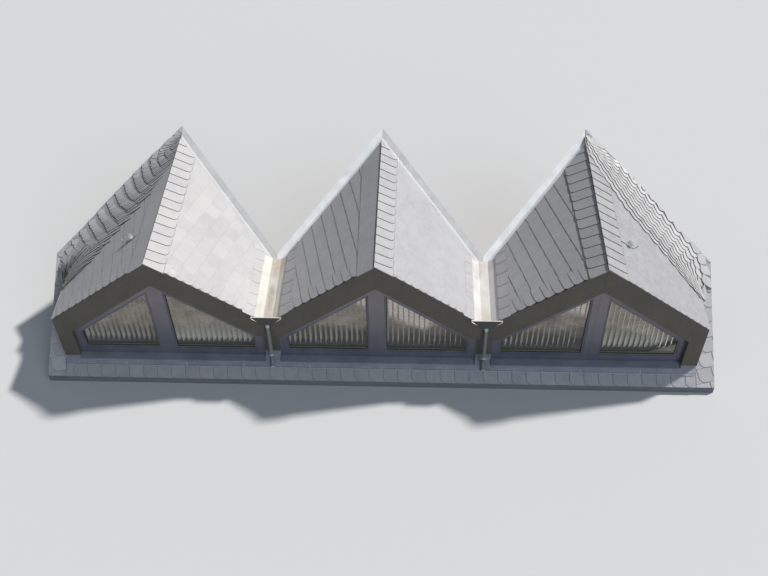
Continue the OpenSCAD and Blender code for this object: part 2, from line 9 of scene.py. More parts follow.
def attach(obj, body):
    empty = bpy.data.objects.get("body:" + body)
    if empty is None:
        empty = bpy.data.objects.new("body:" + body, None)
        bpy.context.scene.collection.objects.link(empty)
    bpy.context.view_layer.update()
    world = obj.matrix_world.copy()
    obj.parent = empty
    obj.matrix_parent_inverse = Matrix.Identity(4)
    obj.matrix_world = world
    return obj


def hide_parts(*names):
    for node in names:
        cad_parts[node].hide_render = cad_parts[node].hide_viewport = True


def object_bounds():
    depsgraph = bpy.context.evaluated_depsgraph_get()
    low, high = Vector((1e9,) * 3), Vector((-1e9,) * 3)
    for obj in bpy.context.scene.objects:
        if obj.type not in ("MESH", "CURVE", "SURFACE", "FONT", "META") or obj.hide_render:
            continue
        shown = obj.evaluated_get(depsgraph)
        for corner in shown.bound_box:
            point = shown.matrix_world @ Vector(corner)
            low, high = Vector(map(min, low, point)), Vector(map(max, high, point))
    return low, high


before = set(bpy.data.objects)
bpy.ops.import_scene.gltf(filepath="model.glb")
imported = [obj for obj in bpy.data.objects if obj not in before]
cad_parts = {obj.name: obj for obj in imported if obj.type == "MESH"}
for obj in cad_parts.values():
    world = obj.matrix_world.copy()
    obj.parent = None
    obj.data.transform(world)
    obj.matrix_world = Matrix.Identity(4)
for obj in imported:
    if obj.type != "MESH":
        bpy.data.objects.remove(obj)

cad_box = [list(corner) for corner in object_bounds()]

# Camera: the photograph was taken from a raised place in front of the dormer, a little to the
# right of its middle gable, looking down on the slates.
camera_place = Vector((0.543, -8.636, 10.447))
looks_down, turned_left, tilted = math.radians(46.17), math.radians(2.885), math.radians(-1.234)
view_lens = bpy.data.cameras.new("camera")
view_lens.sensor_width = 36
view_lens.lens = 43.95
camera = bpy.data.objects.new("camera", view_lens)
camera.matrix_world = (Matrix.Translation(camera_place) @ Matrix.Rotation(turned_left, 4, "Z")
                       @ Matrix.Rotation(math.pi / 2 - looks_down, 4, "X")
                       @ Matrix.Rotation(tilted, 4, "Z"))
bpy.context.scene.collection.objects.link(camera)
bpy.context.scene.camera = camera

# Studio: a plain pale floor under the dormer, one key light from the right and behind, as the
# sun stood in the photograph, a weak lamp from the front and an even pale sky.
bpy.context.scene.view_settings.view_transform = "Standard"


def shader_node(tree, kind, inputs=None, **settings):
    made = tree.nodes.new("ShaderNode" + kind)
    for name, value in settings.items():
        setattr(made, name, value)
    for name, value in (inputs or {}).items():
        if isinstance(value, bpy.types.NodeSocket):
            tree.links.new(value, made.inputs[name])
        else:
            made.inputs[name].default_value = value
    return made


def distant_lamp(name, towards, level, softness, colour):
    lamp = bpy.data.lights.new(name, "SUN")
    lamp.energy = math.pi * level
    lamp.angle = math.radians(softness)
    lamp.color = colour
    held = bpy.data.objects.new(name, lamp)
    held.rotation_mode = "QUATERNION"
    held.rotation_quaternion = Vector(towards).to_track_quat("Z", "Y")
    bpy.context.scene.collection.objects.link(held)


distant_lamp("key_light", (0.56, 0.30, 0.77), 1.12, 4, (1.0, 0.97, 0.94))
distant_lamp("front_light", (0.45, -0.75, 0.48), 0.30, 40, (0.76, 0.86, 1.0))
sky = bpy.data.worlds.new("sky")
sky.use_nodes = True
sky.node_tree.nodes["Background"].inputs["Color"].default_value = (0.74, 0.86, 1.0, 1)
sky.node_tree.nodes["Background"].inputs["Strength"].default_value = 0.20
bpy.context.scene.world = sky


def primitive(kind, name, **place):
    """A new primitive, selected alone, with its place and size in its mesh."""
    bpy.ops.object.select_all(action="DESELECT")
    getattr(bpy.ops.mesh, f"primitive_{kind}_add")(**place)
    made = bpy.context.object
    made.name = name
    bpy.ops.object.transform_apply(location=True, rotation=True, scale=True)
    return made


floor = primitive("grid", "studio_floor", x_subdivisions=2, y_subdivisions=2, size=120,
                  location=(0, 0, cad_box[0][2] - 0.004))
floor_paper = bpy.data.materials.new("floor_paper")
floor_paper.use_nodes = True
paper_tree = floor_paper.node_tree
cloud = shader_node(paper_tree, "TexNoise", {"Scale": 0.25, "Detail": 3.0})
shade = shader_node(paper_tree, "MapRange", {
    "Value": cloud.outputs["Fac"], "To Min": 0.60, "To Max": 0.63})
seen = shader_node(paper_tree, "LightPath")
for kind in ("Is Glossy Ray", "Is Transmission Ray"):
    ray = shader_node(paper_tree, "Math", {
        0: seen.outputs["Is Camera Ray"] if kind == "Is Glossy Ray" else ray.outputs[0],
        1: seen.outputs[kind]}, operation="MAXIMUM")
paper = shader_node(paper_tree, "MapRange", {
    "Value": ray.outputs[0], "To Min": 0.20, "To Max": shade.outputs[0]})
tint = shader_node(paper_tree, "CombineColor", {
    "Red": paper.outputs[0], "Green": paper.outputs[0], "Blue": paper.outputs[0]})
paper_shader = paper_tree.nodes["Principled BSDF"]
paper_tree.links.new(tint.outputs[0], paper_shader.inputs["Base Color"])
paper_shader.inputs["Roughness"].default_value = 0.9
floor.data.materials.append(floor_paper)

# Timber: the sole beam, corner posts, gable heads and ridge beams are planed softwood, cut to the
# roof's pitch and screwed together; the grain runs along each beam.


def finish_of(name, roughness, metallic=0.0):
    made = bpy.data.materials.new(name)
    made.use_nodes = True
    shader = made.node_tree.nodes["Principled BSDF"]
    shader.inputs["Roughness"].default_value = roughness
    shader.inputs["Metallic"].default_value = metallic
    return made, made.node_tree, shader


def colour_ramp(tree, factor, stops):
    ramp = shader_node(tree, "ValToRGB", {"Fac": factor})
    bar = ramp.color_ramp
    while len(bar.elements) < len(stops):
        bar.elements.new(0.5)
    for element, (place, colour) in zip(bar.elements, stops):
        element.position = place
        element.color = (*colour, 1)
    return ramp.outputs["Color"]


def mix_colour(tree, factor, a, b, mode="MIX"):
    mixed = shader_node(tree, "Mix", data_type="RGBA", blend_type=mode)
    for socket, value in ((mixed.inputs[0], factor), (mixed.inputs[6], a), (mixed.inputs[7], b)):
        if isinstance(value, bpy.types.NodeSocket):
            tree.links.new(value, socket)
        elif isinstance(value, tuple):
            socket.default_value = (*value, 1)
        else:
            socket.default_value = value
    return mixed.outputs[2]


def object_place(tree, scale=(1, 1, 1), move=(0, 0, 0)):
    place = shader_node(tree, "TexCoord").outputs["Object"]
    return shader_node(tree, "Mapping", {"Vector": place, "Scale": scale,
                                         "Location": move}).outputs[0]


def noise(tree, where, scale, detail=4.0, rough=0.55):
    made = shader_node(tree, "TexNoise", {
        "Vector": where, "Scale": scale, "Detail": detail, "Roughness": rough})
    return made.outputs["Fac"]


def spread(tree, value, low, high, from_low=0.3, from_high=0.7):
    made = shader_node(tree, "MapRange", {
        "Value": value, "From Min": from_low, "From Max": from_high, "To Min": low,
        "To Max": high})
    return made.outputs[0]


def combined(tree, a, b, operation="ADD"):
    return shader_node(tree, "Math", {0: a, 1: b}, operation=operation).outputs[0]


def bumped(tree, shader, height, strength, depth):
    bump = shader_node(tree, "Bump", {
        "Height": height, "Strength": strength, "Distance": depth})
    tree.links.new(bump.outputs[0], shader.inputs["Normal"])


def surfaced(tree, shader, colour, rough, relief, strength, depth):
    """Links a finish's colour, roughness and fine relief."""
    tree.links.new(colour, shader.inputs["Base Color"])
    tree.links.new(rough, shader.inputs["Roughness"])
    bumped(tree, shader, relief, strength, depth)


def shaded(colour, by):
    return tuple(channel * by for channel in colour)


def timber_finish(name, along, pale, dark):
    made, tree, shader = finish_of(name, 0.6)
    grain = noise(tree, object_place(tree, tuple(1.2 if a == along else 22.0 for a in "XYZ")),
                  3.0, 6.0, 0.6)
    knots = noise(tree, object_place(tree, tuple(2.0 if a == along else 7.0 for a in "XYZ")),
                  1.4, 2)
    tone = colour_ramp(tree, grain, [(0.30, dark), (0.52, pale), (0.75, dark)])
    tone = mix_colour(tree, spread(tree, knots, 0.0, 0.55, 0.55, 0.75), tone, shaded(dark, 0.55))
    surfaced(tree, shader, tone, spread(tree, grain, 0.5, 0.75), grain, 0.25, 0.002)
    return made


def dress(finish, *names):
    for name in names:
        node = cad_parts[name]
        if not node.material_slots:
            node.data.materials.append(finish)
        for slot in node.material_slots:
            slot.material = finish


dress(timber_finish("timber_along_front", "X", (0.60, 0.43, 0.25), (0.42, 0.28, 0.15)),
      "sole_beam", "gable_heads")
dress(timber_finish("timber_upright", "Z", (0.60, 0.43, 0.25), (0.42, 0.28, 0.15)),
      "corner_posts")
dress(timber_finish("timber_into_roof", "Y", (0.58, 0.42, 0.25), (0.40, 0.27, 0.15)),
      "ridge_beams")

# Decks and roof strips: rafters with insulation between them, closed by rough sawn boards. The
# boards at the strips' cut edges and sides are dark grey, painted shade like the slates around
# them.


def board_finish(name, pale, dark, board=0.14):
    made, tree, shader = finish_of(name, 0.8)
    rows = shader_node(tree, "TexWave", {
        "Vector": object_place(tree), "Scale": 1 / board / 3.14, "Distortion": 0.0},
        wave_type="BANDS", bands_direction="Y", wave_profile="SAW")
    joint = spread(tree, rows.outputs["Fac"], 1.0, 0.0, 0.0, 0.06)
    grain = noise(tree, object_place(tree, (1.5, 24, 24)), 2.6, 5.0, 0.6)
    tone = colour_ramp(tree, grain, [(0.3, dark), (0.6, pale)])
    surfaced(tree, shader, mix_colour(tree, joint, tone, shaded(dark, 0.35)),
             spread(tree, grain, 0.65, 0.9), grain, 0.35, 0.003)
    return made


dress(board_finish("deck_boards", (0.50, 0.39, 0.26), (0.34, 0.25, 0.16)),
      "left_outer_deck", "left_inner_deck", "middle_left_deck", "middle_right_deck",
      "right_inner_deck", "right_outer_deck")
dress(board_finish("shade_grey_boards", (0.25, 0.25, 0.26), (0.17, 0.17, 0.18)),
      "edge_boards", "side_boards")

# Piers and cheeks: the piers between the windows are painted boards, the triangular cheeks are
# clad with painted sheet that is joined by narrow upright seams.


def paint_finish(name, colour, rough=0.45, streak=0.25, dust=(0.45, 0.44, 0.42), dusty=0.12,
                 foot_colour=None, between=(0.0, 1.0)):
    """Outdoor paint with clouds, rain runs and dust; it may darken towards its foot."""
    made, tree, shader = finish_of(name, rough)
    cloud = noise(tree, object_place(tree), 3.1, 4.0)
    runs = noise(tree, object_place(tree, (26, 26, 1.3)), 2.0, 3.0)
    fine = noise(tree, object_place(tree), 220.0, 2.0, 0.6)
    body = mix_colour(tree, spread(tree, cloud, 0.0, 1.0), shaded(colour, 0.90),
                      shaded(colour, 1.12))
    if foot_colour:
        height = shader_node(tree, "SeparateXYZ", {"Vector": object_place(tree)}).outputs["Z"]
        body = mix_colour(tree, spread(tree, height, 0.0, 1.0, *between), foot_colour, body)
    body = mix_colour(tree, spread(tree, runs, 0.0, streak, 0.45, 0.75), body, shaded(colour, 0.72))
    dirt = combined(tree, cloud, fine, "MULTIPLY")
    body = mix_colour(tree, spread(tree, dirt, 0.0, dusty, 0.2, 0.4), body, dust)
    surfaced(tree, shader, body, spread(tree, cloud, rough - 0.07, rough + 0.10), fine, 0.08,
             0.0006)
    return made


def alone(*pieces):
    """Selects these pieces and nothing else."""
    bpy.ops.object.select_all(action="DESELECT")
    for piece in pieces:
        piece.select_set(True)
    bpy.context.view_layer.objects.active = pieces[0]


def joined(name, parts, *blanks):
    """Joins the parts under a name; the blanks that they were copied from go."""
    alone(*parts)
    if len(parts) > 1:
        bpy.ops.object.join()
    parts[0].name = name
    for blank in blanks:
        bpy.data.objects.remove(blank)
    return parts[0]


def cut_off(piece, *planes):
    """Cuts a piece along planes, (point, outward), and throws away what lies beyond each."""
    alone(piece)
    bpy.ops.object.mode_set(mode="EDIT")
    for point, outward in planes:
        bpy.ops.mesh.select_all(action="SELECT")
        bpy.ops.mesh.bisect(plane_co=point, plane_no=Vector(outward).normalized(), use_fill=True,
                            clear_outer=True)
    bpy.ops.object.mode_set(mode="OBJECT")


def eased(piece, edge, segments=1):
    """Bevels all edges of a new piece."""
    bpy.ops.object.mode_set(mode="EDIT")
    bpy.ops.mesh.select_all(action="SELECT")
    bpy.ops.mesh.bevel(offset=edge, segments=segments, affect="EDGES")
    bpy.ops.object.mode_set(mode="OBJECT")
    return piece


def place_by(origin, *axes):
    """The transform that puts a mesh's origin and its three axes in place."""
    turn = Matrix(axes).transposed().to_4x4()
    turn.translation = origin
    return turn


def bar_between(name, start, end, up, width, height, edge=0.001, sunk=0.0):
    """A bar with eased edges that lies on a surface from start to end; up points out of it."""
    start, end = Vector(start), Vector(end)
    length = (end - start).length
    bar = eased(primitive("cube", name, size=1, location=(length / 2, 0, height / 2 - sunk),
                          scale=(length, width, height)), edge, 2)
    along = (end - start).normalized()
    side = Vector(up).cross(along).normalized()
    bar.data.transform(place_by(start, along, side, along.cross(side)))
    return bar


def given(piece, finish, slot, *replaced):
    """Finishes a piece: its material and the body it rides on. The slot is not used."""
    piece.data.materials.clear()
    piece.data.materials.append(finish)
    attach(piece, "root")
    if replaced:
        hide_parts(*replaced)
    return piece


pier_paint = paint_finish("pier_paint", (0.115, 0.108, 0.088), 0.60)
cheek_paint = paint_finish("cheek_paint", (0.20, 0.21, 0.235), 0.42)
dress(pier_paint, "piers")
dress(cheek_paint, "cheeks")

gable_spacing, half_spacing, ridge_height = 3.0, 1.5, 1.977
slope_pitch, roof_pitch = math.radians(36.7), math.radians(35.5)
cos_slope, sin_slope, tan_slope = (f(slope_pitch) for f in (math.cos, math.sin, math.tan))
cos_roof, sin_roof, tan_roof = (f(roof_pitch) for f in (math.cos, math.sin, math.tan))
slate_layer = 0.020
boards_above, slates_above = 0.082 / cos_roof, 0.102 / cos_roof
deck_height = ridge_height - slate_layer / cos_slope

seams = []
for side in (-1, 1):
    for y in (0.21, 0.40, 0.59, 0.78, 0.97, 1.16):
        low = max(y * tan_roof + slates_above + 0.004, 0.2)
        if low < 0.72:
            seams.append(bar_between("seam", (side * 4.5, y, low), (side * 4.5, y, 0.735),
                                     (side, 0, 0), 0.007, 0.009, 0.002))
given(joined("cheek_seams", seams), cheek_paint, "cheek_cladding")

# Front band: painted boards that follow each gable, with lining boards back to the window frames.
# Their joints are closed by narrow cover strips and the screws are capped.
band_paint = paint_finish("band_paint", (0.118, 0.104, 0.082), 0.62, 0.35, (0.34, 0.31, 0.27), 0.10)
dress(band_paint, "left_front_panel", "middle_front_panel", "right_front_panel")
band_front = -0.120
open_height = deck_height - 0.412

covers = []
for gable in (-1, 0, 1):
    middle = gable * gable_spacing
    covers.append(bar_between("cover", (middle, band_front, open_height + 0.004),
                              (middle, band_front, deck_height - 0.006), (0, -1, 0), 0.034, 0.003))
    for side in (-1, 1):
        for u in (0.35, 0.75, 1.15):
            for drop in (0.06, 0.35):
                z = deck_height - drop - tan_slope * u
                covers.append(eased(primitive(
                    "cylinder", "cap", vertices=12, radius=0.007, depth=0.003,
                    location=(middle + side * u, band_front - 0.001, z),
                    rotation=(math.pi / 2, 0, 0)), 0.001))
given(joined("band_cover_strips", covers), band_paint, "band_paint")

# Windows: fixed frames of painted profiles with glazing beads, black rubber seals round the
# panes and a coupling strip on each middle post. Beside each middle post one seal is widened
# into a black strip of painted shade, the shade of the pane's reveal.
frame_paint = paint_finish("frame_paint", (0.26, 0.225, 0.235), 0.42, 0.15,
                           foot_colour=(0.106, 0.117, 0.154), between=(0.15, 1.10))
bead_paint = paint_finish("bead_paint", (0.13, 0.13, 0.15), 0.42, 0.10)
dress(frame_paint, "left_window_frame", "middle_window_frame", "right_window_frame")
dress(bead_paint, "glazing_beads")
rubber, tree, shader = finish_of("seal_rubber", 0.55)
rubber_cloud = noise(tree, object_place(tree), 40.0)
tree.links.new(colour_ramp(tree, rubber_cloud, [(0.3, (0.012, 0.012, 0.013)),
                                                (0.7, (0.028, 0.028, 0.030))]),
               shader.inputs["Base Color"])
bumped(tree, shader, rubber_cloud, 0.2, 0.0005)

frame_low, head_height, frame_face, glass_face = 0.0703, open_height + 0.015, -0.040, -0.017
inner_half, outer_half, post_half = 1.390, 1.315, 0.132
daylight_edge, seal_inset = 0.135, 0.003
seal_line = daylight_edge + seal_inset

seals_and_shade_strips, couplings = [], []
for gable in (-1, 0, 1):
    middle = gable * gable_spacing
    for side in (-1, 1):
        reach = outer_half if gable * side > 0 else inner_half
        near, out = post_half + seal_inset, reach - seal_line
        low, top = frame_low + seal_line, head_height - seal_line / cos_slope
        corners = [Vector((middle + side * u, glass_face, z)) for u, z in (
            (near, low), (out, low), (out, top - tan_slope * out), (near, top - tan_slope * near))]
        for edge, (a, b) in enumerate(zip(corners, corners[1:] + corners[:1])):
            # On one pane of each window the seal along the middle post is widened: painted shade of
            # the reveal
            wide = 0.016 if edge == 3 and side == (-1 if gable == 1 else 1) else 0.007
            seals_and_shade_strips.append(bar_between("seal", a, b, (0, -1, 0), wide, 0.006, 0.0015))
        couplings.append(bar_between(
            "foot_strip", (middle + side * 0.03, frame_face, frame_low + 0.014),
            (middle + side * (reach - 0.012), frame_face, frame_low + 0.014), (0, -1, 0), 0.012,
            0.003))
    couplings.append(bar_between(
        "coupling", (middle, frame_face, frame_low + 0.012),
        (middle, frame_face, head_height - 0.07), (0, -1, 0), 0.040, 0.003))
given(joined("pane_seals_and_shade_strips", seals_and_shade_strips), rubber, "bead_paint")
given(joined("frame_coupling_strips", couplings), frame_paint, "frame_paint")

# Panes: double glazing in the fixed frames, with a thin film of dust; a warm reflection is painted
# on their upper half, and a mossy film runs along their foot. In the right window's outer corner
# the film rises higher as painted shade over what lies behind the pane.
glass, tree, shader = finish_of("pane_glass", 0.04)
place = shader_node(tree, "SeparateXYZ", {"Vector": object_place(tree)}).outputs
patches = noise(tree, object_place(tree, (1.0, 1.0, 1.6)), 3.2, 5.0, 0.62)
painted_reflection = spread(tree, combined(tree, place["Z"], combined(tree, patches, 0.22, "MULTIPLY")),
              0.0, 1.0, 0.52, 0.86)
# Colours of the painted reflection on the upper half of the panes
tone = colour_ramp(tree, patches, [(0.30, (0.34, 0.27, 0.21)), (0.50, (0.60, 0.49, 0.39)),
                                   (0.68, (0.78, 0.68, 0.57))])
# Moss along the panes' foot; in the right window's outer corner it rises higher as painted shade
outer_corner = combined(tree, combined(tree, place["X"], 3.80, "SUBTRACT"), 0.0, "MAXIMUM")
moss_and_shade_line = combined(tree, place["Z"], combined(tree, outer_corner, 0.5, "MULTIPLY"), "SUBTRACT")
moss_and_painted_shade = spread(tree, moss_and_shade_line, 1.0, 0.0, 0.232, 0.246)
dust_and_painted_reflection = mix_colour(tree, painted_reflection, (0.035, 0.045, 0.035), tone)
dust_moss_and_painted_light_cover = combined(tree, spread(tree, painted_reflection, 0.05, 0.42, 0.0, 1.0),
                combined(tree, moss_and_painted_shade, 0.75, "MULTIPLY"), "MAXIMUM")
tree.links.new(mix_colour(tree, moss_and_painted_shade, dust_and_painted_reflection, (0.22, 0.23, 0.15)), shader.inputs["Base Color"])
tree.links.new(dust_moss_and_painted_light_cover, shader.inputs["Alpha"])
tree.links.new(spread(tree, patches, 0.03, 0.08), shader.inputs["Roughness"])
dress(glass, "left_panes", "middle_panes", "right_panes")

# Blinds: behind every pane hangs a vertical blind of woven vanes on a sloping rail. The vanes are
# joined at their foot by a thin chain, and each blind is turned a little differently.
vane_cloth, tree, shader = finish_of("woven_vane", 0.85)
weave = shader_node(tree, "TexWave", {
    "Vector": object_place(tree), "Scale": 180.0, "Distortion": 1.5, "Detail": 2.0},
    wave_type="BANDS", bands_direction="Z").outputs["Fac"]
slub = noise(tree, object_place(tree, (60, 60, 6)), 3.0, 4.0)
woven = mix_colour(tree, weave, (0.84, 0.80, 0.68), (0.90, 0.87, 0.76))
tree.links.new(mix_colour(tree, spread(tree, slub, 0.0, 0.6), woven, (0.78, 0.74, 0.62)),
               shader.inputs["Base Color"])
shader.inputs["Sheen Weight"].default_value = 0.15
bumped(tree, shader, weave, 0.15, 0.0004)
rail_metal = paint_finish("rail_paint", (0.62, 0.61, 0.58), 0.4)

vane_blank = primitive("grid", "vane_blank", x_subdivisions=6, y_subdivisions=1, size=1)
bpy.ops.object.mode_set(mode="EDIT")
bpy.ops.mesh.select_all(action="SELECT")
bpy.ops.transform.resize(value=(0.089, 1, 1))
bpy.ops.transform.rotate(value=math.pi / 2, orient_axis="X", center_override=(0, 0, 0))
for column in (-0.0445, -0.0297, -0.0148, 0.0, 0.0148, 0.0297, 0.0445):
    bpy.ops.mesh.select_all(action="DESELECT")
    cloth = bmesh.from_edit_mesh(vane_blank.data)
    for point in cloth.verts:
        point.select_set(abs(point.co.x - column) < 0.004)
    cloth.select_flush(True)
    bmesh.update_edit_mesh(vane_blank.data)
    bpy.ops.transform.translate(value=(0, 0.006 * (1 - (column / 0.0445) ** 2), 0))
bpy.ops.object.mode_set(mode="OBJECT")
thicken = vane_blank.modifiers.new("thicken", "SOLIDIFY")
thicken.thickness = 0.0009
bpy.ops.object.modifier_apply(modifier=thicken.name)

vane_turn = {(-1, -1): 87, (-1, 1): 52, (0, -1): 78, (0, 1): 78, (1, -1): 64, (1, 1): 28}
vane_low, rail_y = frame_low + 0.155, 0.094
for (gable, side), turned in vane_turn.items():
    name = {-1: "left", 0: "middle", 1: "right"}[gable] + ("_left" if side < 0 else "_right")
    middle = gable * gable_spacing
    near, reach = post_half - 0.025, outer_half - 0.040 if gable * side > 0 else inner_half - 0.110
    rail = bar_between(name + "_blind_rail",
                       (middle + side * near, rail_y, head_height + 0.018 - tan_slope * near),
                       (middle + side * reach, rail_y, head_height + 0.018 - tan_slope * reach),
                       (0, -1, 0), 0.026, 0.050, 0.004, 0.025)
    vanes, weights, chain, cloth_area = [], [], [], 0.0
    u, before = near + 0.037, None
    while u < reach - 0.018:
        x, top = middle + side * u, head_height + 0.006 - tan_slope * u
        angle = math.radians(turned) + math.radians(((u * 7.7) % 1 - 0.5) * 5)
        vane = vane_blank.copy()
        vane.data = vane_blank.data.copy()
        bpy.context.scene.collection.objects.link(vane)
        vane.data.transform(Matrix.Translation((x, rail_y, (top + vane_low) / 2))
                            @ Matrix.Rotation(angle, 4, "Z")
                            @ Matrix.Diagonal((1, 1, top - vane_low, 1)))
        cloth_area += 0.0895 * (top - vane_low)
        vanes.append(vane)
        ahead = Vector((math.cos(angle), math.sin(angle), 0))
        foot = Vector((x, rail_y, vane_low))
        weights.append(bar_between("weight", foot - ahead * 0.042, foot + ahead * 0.042, (0, 0, 1),
                                   0.004, 0.030, 0.001, 0.008))
        if before is not None:
            for edge in (-0.036, 0.036):
                chain.append(bar_between("chain", before[0] + before[1] * edge,
                                         foot + ahead * edge, (0, 0, 1), 0.002, 0.002, 0.0005))
        before = (foot, ahead)
        u += 0.074
    hem = given(joined(name + "_vane_weights", weights + chain), rail_metal, "blind_fabric")
    blind = given(joined(name + "_blind_vanes", vanes), vane_cloth, "blind_fabric")
    given(rail, rail_metal, "blind_fabric")
    if gable == -1 and side == -1:
        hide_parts("blinds")
bpy.data.objects.remove(vane_blank)

# Sills: thin sheet bent to a slope with a drip at its nose, painted as the frames are. Each end is
# turned up beside the pier.
sill_paint = paint_finish("sill_paint", (0.215, 0.225, 0.27), 0.42, 0.20)
dress(sill_paint, "left_sill", "middle_sill", "right_sill")
sill_nose, sill_bend, sill_fall = -0.150, -0.055, math.radians(12)
ends = []
for gable in (-1, 0, 1):
    for side in (-1, 1):
        reach = 1.288 if gable * side > 0 else 1.390
        x = gable * gable_spacing + side * (reach - 0.004)
        back, front = Vector((x, sill_bend, frame_low)), Vector(
            (x, sill_nose, frame_low - (sill_bend - sill_nose) * math.tan(sill_fall)))
        ends.append(bar_between("end", front, back, (0, -math.sin(sill_fall), math.cos(sill_fall)),
                                0.006, 0.018, 0.0015))
given(joined("sill_ends", ends), sill_paint, "sill_paint")

# Slates: split natural slate in courses that rise towards the band, nailed so that each slate
# covers the next; ridge strips, verge slates and foot slates close the slopes.
verge_y = -0.142
chance = random.Random(11)


def pick(piece, kind, wanted):
    """Selects, in edit mode, only the edges or faces of a piece that are wanted."""
    bpy.ops.mesh.select_mode(type=kind)
    bpy.ops.mesh.select_all(action="DESELECT")
    shape = bmesh.from_edit_mesh(piece.data)
    for part in shape.edges if kind == "EDGE" else shape.faces:
        part.select_set(wanted(part))
    bmesh.update_edit_mesh(piece.data)


def slate_blank(name, width, length, corner, free_right, thick=0.006, dark=1.0, side_edge_shade=1.0,
                foot_fade=1.0, worn=0.006):
    """A slate lying from its lower left corner, its free lower corner rounded and its edges
    dressed to a bevel; dark tells how dark its edges are painted, the dark cut edge together
    with painted shade along it."""
    blank = primitive("cube", name, size=1, location=(width / 2, length / 2, thick / 2),
                      scale=(width, length, thick))
    free_x = width if free_right else 0.0
    bpy.ops.object.mode_set(mode="EDIT")
    pick(blank, "EDGE", lambda edge: all(
        abs(v.co.x - free_x) < 1e-6 and v.co.y < 1e-6 for v in edge.verts))
    bpy.ops.mesh.bevel(offset=corner, segments=4, affect="EDGES")
    pick(blank, "FACE", lambda face: face.normal.z > 0.9)
    bpy.ops.mesh.inset(thickness=worn, depth=0.0)
    bpy.ops.object.mode_set(mode="OBJECT")

    # The dressed edge falls off towards the outline; where the slate is free it is dark, its own
    # cut edge together with painted shade along it
    edges = []
    for point in blank.data.vertices:
        x, y, z = point.co
        inside = min(x, width - x, y) > worn * 0.5 and length - y > worn * 0.5
        rounded = math.hypot(max(corner - (width - x if free_right else x), 0),
                             max(corner - y, 0)) > corner - worn * 0.5
        if inside and not rounded and z > thick * 0.5:
            edges.append(0.0)
            continue
        if z > thick * 0.5:
            point.co.z -= 0.0015
        from_free = abs(x - free_x)
        if rounded or (y < 1e-4 and from_free / width < 0.6):
            edges.append(dark)
        elif y < 1e-4:
            edges.append(dark * foot_fade)
        else:
            edges.append(side_edge_shade if from_free < 1e-4 else 0.0)
    blank.data.attributes.new("tone", "FLOAT", "POINT")
    blank.data.attributes.new("edge", "FLOAT", "POINT").data.foreach_set("value", edges)
    return blank


def lay_slate(blank, corner, along, up, lift_up, lift_side, varied=0.22, middle=0.5, wide=1.0):
    """Copies a slate onto the roof; it sinks by lift_up up the slope and by lift_side along it."""
    along, up = along.normalized(), up.normalized()
    normal = along.cross(up).normalized()
    laid = blank.copy()
    laid.data = blank.data.copy()
    laid.data.transform(place_by(corner, along - normal * lift_side, up - normal * lift_up, normal)
                        @ Matrix.Diagonal((wide, 1, 1, 1)))
    tone = middle + chance.uniform(-varied, varied)
    laid.data.attributes["tone"].data.foreach_set("value", [tone] * len(laid.data.vertices))
    bpy.context.scene.collection.objects.link(laid)
    return laid


def slate_finish(name, dark, middle, pale, rough=0.5):
    made, tree, shader = finish_of(name, rough)
    tone = shader_node(tree, "Attribute", attribute_name="tone").outputs["Fac"]
    shifted = shader_node(tree, "CombineXYZ", {
        "X": combined(tree, tone, 37.0, "MULTIPLY"), "Y": combined(tree, tone, 53.0, "MULTIPLY")})
    where = object_place(tree)
    own = shader_node(tree, "VectorMath", {0: where, 1: shifted.outputs[0]},
                      operation="ADD").outputs[0]
    cloud = noise(tree, where, 1.7, 4.0, 0.6)
    split = noise(tree, own, 9.0, 6.0, 0.65)
    speck = noise(tree, own, 130.0, 3.0, 0.7)
    body = colour_ramp(tree, tone, [(0.0, dark), (0.5, middle), (1.0, pale)])
    body = mix_colour(tree, spread(tree, cloud, 0.0, 0.45), body, shaded(middle, 0.84))
    body = mix_colour(tree, spread(tree, split, 0.0, 0.30), body, shaded(pale, 1.10))
    body = mix_colour(tree, spread(tree, speck, 0.0, 0.22, 0.45, 0.75), body, shaded(dark, 0.6))
    edge = shader_node(tree, "Attribute", attribute_name="edge").outputs["Fac"]
    # Darkened edges: partly the slate's dark cut edge, partly painted shade along it
    body = mix_colour(tree, spread(tree, edge, 0.0, 0.92, 0.0, 1.0), body, (0.030, 0.029, 0.030))
    surfaced(tree, shader, body, spread(tree, split, rough - 0.08, rough + 0.12),
             combined(tree, split, speck), 0.20, 0.0016)
    return made


def slope_frame(side):
    """A slope's directions: to the right along it, up it, and out of it."""
    right = Vector((0, side, 0))
    up = Vector((-side * cos_slope, 0, sin_slope))
    return right, up, right.cross(up)


def valley_at(down, gap):
    """Y of the slates' edge beside a valley, as far down from the ridge."""
    return (deck_height - sin_slope * down - boards_above) / tan_roof - gap * math.sqrt(
        1 + (tan_slope / tan_roof) ** 2)


slate_colour = slate_finish("natural_slate", (0.335, 0.335, 0.350), (0.455, 0.447, 0.455),
                            (0.585, 0.568, 0.555))
inner_edge, outer_edge = (half_spacing - 0.174) / cos_slope, 1.519 / cos_slope
course_rise, course_high, slate_wide = math.radians(15.5), 0.20, 0.22
